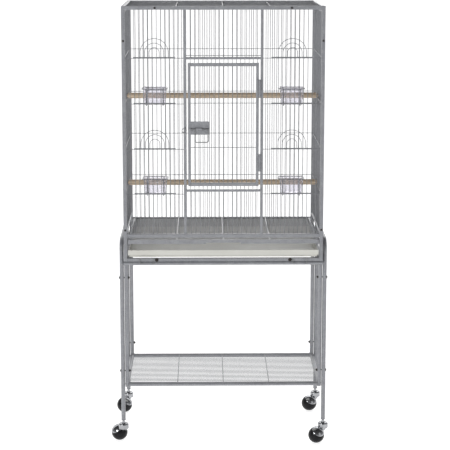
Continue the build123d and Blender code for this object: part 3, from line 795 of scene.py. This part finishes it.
def makeBall(place):
    joint = joints[f"caster_{place}_spin"]
    centre = Vector(joint["pos_m"])
    axis = Vector(joint["axis"]).normalized()
    radius = centre.z
    node = f"caster_ball_{place}"
    cut = ballLook["cut"] * mm
    pole = ballLook["pole"] * mm
    bore = ballLook["axleBore"] * mm
    flat = math.sqrt(radius**2 - pole**2)
    face = [
        (0, pole + 1.6 * mm),
        (flat * 0.28, pole + 1.6 * mm),
        (flat * 0.34, pole + 0.4 * mm),
        (flat * 0.50, pole + 0.3 * mm),
        (flat * 0.56, pole + 1.0 * mm),
        (flat * 0.84, pole + 1.0 * mm),
        (flat * 0.90, pole + 0.1 * mm),
        (flat * 0.98, pole),
    ]
    start = math.asin(pole / radius)
    end = math.asin(cut / radius)
    outside = []
    for i in range(ballLook["steps"] + 1):
        angle = start + (end - start) * i / ballLook["steps"]
        outside.append((radius * math.cos(angle), radius * math.sin(angle)))
    width = ballLook["grooveWidth"] * mm
    for share in ballLook["grooves"]:
        level = share * radius
        low, middle, high = [math.sqrt(radius**2 - h**2) for h in (level - width, level, level + width)]
        middle -= ballLook["groove"] * mm
        outside = [p for p in outside if not level - 2 * width < p[1] < level + 2 * width]
        outside += [(low, level - width), (middle, level - width * 0.4)]
        outside += [(middle, level + width * 0.4), (high, level + width)]
    outside = sorted([p for p in outside if p[1] >= pole], key=lambda p: p[1])
    top = math.sqrt(radius**2 - cut**2)
    hub = [
        (top * 0.86, cut),
        (top * 0.84, cut - 1.5 * mm),
        (top * 0.52, cut - 1.5 * mm),
        (top * 0.50, cut),
        (bore + 1.5 * mm, cut),
        (bore, cut - 0.4 * mm),
        (bore, ballLook["boreEnd"] * mm),
        (0, ballLook["boreEnd"] * mm),
    ]
    mesh = bmesh.new()
    addLathe(mesh, face + outside + hub, facing(centre, axis), ballLook["sides"])
    addPiece(f"ball{place.title().replace('_', '')}", mesh, "black_plastic", node, (node,), sharp=30)


for place in casterPlaces:
    makeBall(place)
print("caster balls made")


# floor, light and camera

studio = {
    "floor": (0.60, 0.60, 0.60),
    "grain": (0.64, 0.64, 0.64),
    "glow": 0.82,
    "sky": [(0.0, 0.75), (0.48, 0.82), (0.58, 0.62), (0.72, 0.22), (1.0, 0.10)],
    "strength": 0.64,
    "size": 14,
    "bend": 4.5,  # where the paper starts to rise
    "curve": 3,
    "columns": 12,
    "curveSteps": 12,
}


def makeFloor():
    mesh = bmesh.new()
    size = studio["size"]
    bend, curve = studio["bend"], studio["curve"]
    columns, steps = studio["columns"], studio["curveSteps"]
    across = [size * (i / columns - 0.5) * 2 for i in range(columns + 1)]
    line = [(-size, 0), (bend, 0)]
    for i in range(1, steps + 1):
        angle = math.radians(90 * i / steps)
        line.append((bend + curve * math.sin(angle), curve - curve * math.cos(angle)))
    line.append((bend + curve, size))
    grid = [[mesh.verts.new((x, y, z)) for x in across] for y, z in line]
    for lower, upper in zip(grid, grid[1:]):
        for i in range(len(across) - 1):
            mesh.faces.new((lower[i], lower[i + 1], upper[i + 1], upper[i])).smooth = True
    data = bpy.data.meshes.new("studioFloor")
    mesh.to_mesh(data)
    mesh.free()
    floor = bpy.data.objects.new("studioFloor", data)
    bpy.context.scene.collection.objects.link(floor)
    paint = Paint("studioPaper")
    grain = paint.noise(3, 2)
    colour = paint.mix(grain, (*studio["floor"], 1), (*studio["grain"], 1))
    glow = {"Emission_Color": (1, 1, 1, 1), "Emission_Strength": studio["glow"]}
    data.materials.append(paint.finish(colour, 0.6 + grain * 0.1, grain, (0.02, 0.001), **glow))


makeFloor()

world = bpy.data.worlds.new("studio")
bpy.context.scene.world = world
sky = NodeSet(world)
way = sky.add("ShaderNodeTexCoord").outputs["Generated"]
height = sky.add("ShaderNodeSeparateXYZ", {}, {0: way}).outputs["Z"]
level = sky.add("ShaderNodeMapRange", {}, {"Value": height, "From Min": -1, "From Max": 1})
stops = [(place, (tone, tone, tone * 1.01)) for place, tone in studio["sky"]]
shade = sky.add("ShaderNodeValToRGB", {"stops": stops}, {"Fac": level.outputs[0]})
lit = sky.add("ShaderNodeBackground", {}, {"Color": shade.outputs[0], "Strength": studio["strength"]})
plain = sky.add("ShaderNodeBackground", {}, {"Color": (1, 1, 1, 1), "Strength": 1.0})
seen = sky.add("ShaderNodeLightPath").outputs["Is Camera Ray"]
both = sky.add("ShaderNodeMixShader", {}, {0: seen, 1: lit.outputs[0], 2: plain.outputs[0]})
sky.add("ShaderNodeOutputWorld", {}, {"Surface": both.outputs[0]})
bpy.context.scene.view_settings.view_transform = "Standard"

lamps = {
    "keyLeft": {"at": (-2.8, -3.6, 2.4), "size": 1.6, "watts": 74},
    "fillRight": {"at": (3.4, -2.8, 1.6), "size": 2.2, "watts": 10},
    "rim": {"at": (0.6, 3.2, 2.6), "size": 2.0, "watts": 20},
}
target = Vector((0, 0, 0.85))  # where every lamp points
for name, lamp in lamps.items():
    light = bpy.data.lights.new(name, "AREA")
    light.size = lamp["size"]
    light.energy = lamp["watts"]
    holder = bpy.data.objects.new(name, light)
    holder.location = lamp["at"]
    holder.rotation_euler = (target - holder.location).to_track_quat("-Z", "Y").to_euler()
    bpy.context.scene.collection.objects.link(holder)

view = {
    "yaw": 0.86,
    "pitch": 10.14,
    "distance": 5.586,
    "aim": (0.0236, 0.0048, 0.894),
    "lens": 118.26,
    "sensor": 36,
    "shiftY": -0.06,
    "reach": 100,
}


def makeCamera():
    camera = bpy.data.cameras.new("studioCamera")
    camera.lens = view["lens"]
    camera.sensor_width = view["sensor"]
    camera.shift_y = view["shiftY"]
    holder = bpy.data.objects.new("studioCamera", camera)
    yaw = math.radians(view["yaw"])
    pitch = math.radians(view["pitch"])
    level = math.cos(pitch)
    forward = Vector((math.sin(yaw) * level, math.cos(yaw) * level, -math.sin(pitch)))
    holder.location = Vector(view["aim"]) - forward * view["distance"]
    holder.rotation_euler = forward.to_track_quat("-Z", "Y").to_euler()
    camera.clip_end = view["reach"]
    bpy.context.scene.collection.objects.link(holder)
    bpy.context.scene.camera = holder


makeCamera()
print("studio ready")
